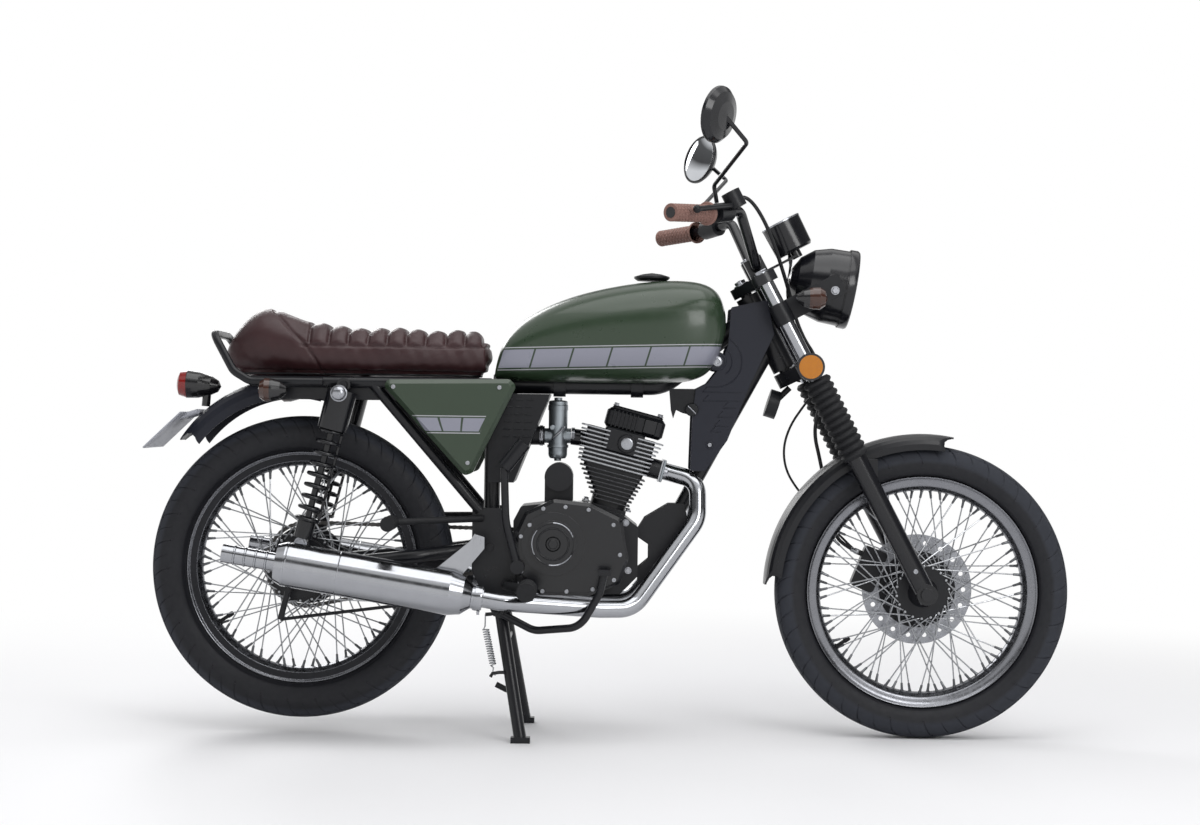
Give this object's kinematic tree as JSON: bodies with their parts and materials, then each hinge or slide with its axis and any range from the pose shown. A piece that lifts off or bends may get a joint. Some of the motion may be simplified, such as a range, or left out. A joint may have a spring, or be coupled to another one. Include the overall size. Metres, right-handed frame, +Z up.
{
  "type": "cafe racer motorcycle",
  "caption": "Light cafe racer motorcycle on its centre stand, with spoked wheels that turn, steering that turns and a stand that folds.",
  "frame": {"origin": "on the ground under the middle of the whole length, on the centre plane", "axes": "+X to the front, +Y to the rider's left, +Z up"},
  "size_m": [1.95, 0.9204, 1.3236],
  "materials": {
    "black_steel": "satin black paint",
    "green_paint": "deep green semi-gloss paint",
    "satin_black_alloy": "satin black coated alloy",
    "chrome": "polished chrome plate",
    "bright_steel": "plain steel, lightly brushed",
    "bare_alloy": "bare cast alloy",
    "black_rubber": "matte black rubber",
    "tyre_rubber": "matte black tyre rubber",
    "brown_rubber": "brown waffle rubber",
    "seat_leather": "dark brown stitched leather",
    "black_plastic": "matte black moulded plastic",
    "lens_glass": "clear lamp glass",
    "plate_white": "plain pale painted plate",
    "chain_steel": "oiled steel chain"
  },
  "bodies": {
    "frame": {"main_frame": "black_steel", "swingarm": "black_steel", "shocks": "black_steel", "drive_chain": "chain_steel", "rear_brake": "bare_alloy", "rear_guard": "black_steel", "grab_rail": "black_steel", "tail_lamp": "black_plastic", "number_plate": "plate_white", "rear_turn_lamps": "black_plastic", "fuel_tank": "green_paint", "fuel_cap": "black_plastic", "seat": "seat_leather", "side_covers": "green_paint", "airbox": "black_plastic", "shroud": "black_plastic", "crankcase": "satin_black_alloy", "engine_covers": "satin_black_alloy", "cylinder": "satin_black_alloy", "cylinder_head": "satin_black_alloy", "carburettor": "bare_alloy", "exhaust_headers": "chrome", "mufflers": "chrome", "foot_pegs": "black_rubber", "brake_pedal": "black_steel", "kick_lever": "black_steel", "gear_lever": "black_steel"},
    "steering": {"fork_clamps": "satin_black_alloy", "fork_tubes": "chrome", "fork_sliders": "satin_black_alloy", "fork_gaiters": "black_rubber", "handlebar": "black_steel", "grips": "brown_rubber", "controls": "black_plastic", "mirrors": "black_plastic", "instrument": "black_plastic", "headlamp": "black_steel", "headlamp_lens": "lens_glass", "headlamp_brackets": "black_steel", "front_turn_lamps": "black_plastic", "front_guard": "black_steel", "front_caliper": "satin_black_alloy", "horn": "black_plastic", "brake_hose": "black_rubber", "speed_cable": "black_rubber"},
    "front_wheel": {"front_tyre": "tyre_rubber", "front_rim": "bright_steel", "front_hub": "satin_black_alloy", "brake_disc": "bright_steel"},
    "rear_wheel": {"rear_tyre": "tyre_rubber", "rear_rim": "bright_steel", "rear_hub": "bare_alloy"},
    "centre_stand": {"centre_stand": "black_steel"}
  },
  "joints": [
    {"name": "steering_turn", "type": "hinge", "parent": "frame", "child": "steering", "pos_m": [0.32741, 0, 0.85696], "axis": [-0.4679, 0, 0.8838], "range_deg": [-36, 36]},
    {"name": "front_wheel_spin", "type": "hinge", "parent": "steering", "child": "front_wheel", "pos_m": [0.664, 0, 0.311], "axis": [0, 1, 0], "continuous": true},
    {"name": "rear_wheel_spin", "type": "hinge", "parent": "frame", "child": "rear_wheel", "pos_m": [-0.649, 0, 0.348], "axis": [0, 1, 0], "continuous": true},
    {"name": "stand_fold", "type": "hinge", "parent": "frame", "child": "centre_stand", "pos_m": [-0.226, 0, 0.268], "axis": [0, 1, 0], "range_deg": [0, 85]}
  ]
}
